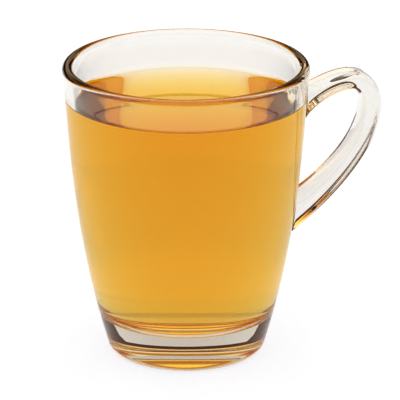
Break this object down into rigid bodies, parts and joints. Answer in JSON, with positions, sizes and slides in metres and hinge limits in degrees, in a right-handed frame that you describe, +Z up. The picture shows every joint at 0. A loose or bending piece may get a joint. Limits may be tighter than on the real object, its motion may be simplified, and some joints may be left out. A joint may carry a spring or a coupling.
{
  "type": "glass cup of tea",
  "caption": "Tapered clear glass cup with an ear-shaped side handle and a heavy base, filled with amber tea to just below the rim.",
  "frame": {"origin": "on the cup's axis, in the plane of its foot", "axes": "+Z up along the cup's axis; +X towards the handle"},
  "size_m": [0.11, 0.084, 0.1025],
  "materials": {
    "clear_glass": "clear pressed glass, fire-polished",
    "tea": "clear amber liquid with a still surface"
  },
  "bodies": {
    "root": {"glass_cup": "clear_glass", "tea": "tea"}
  },
  "joints": []
}
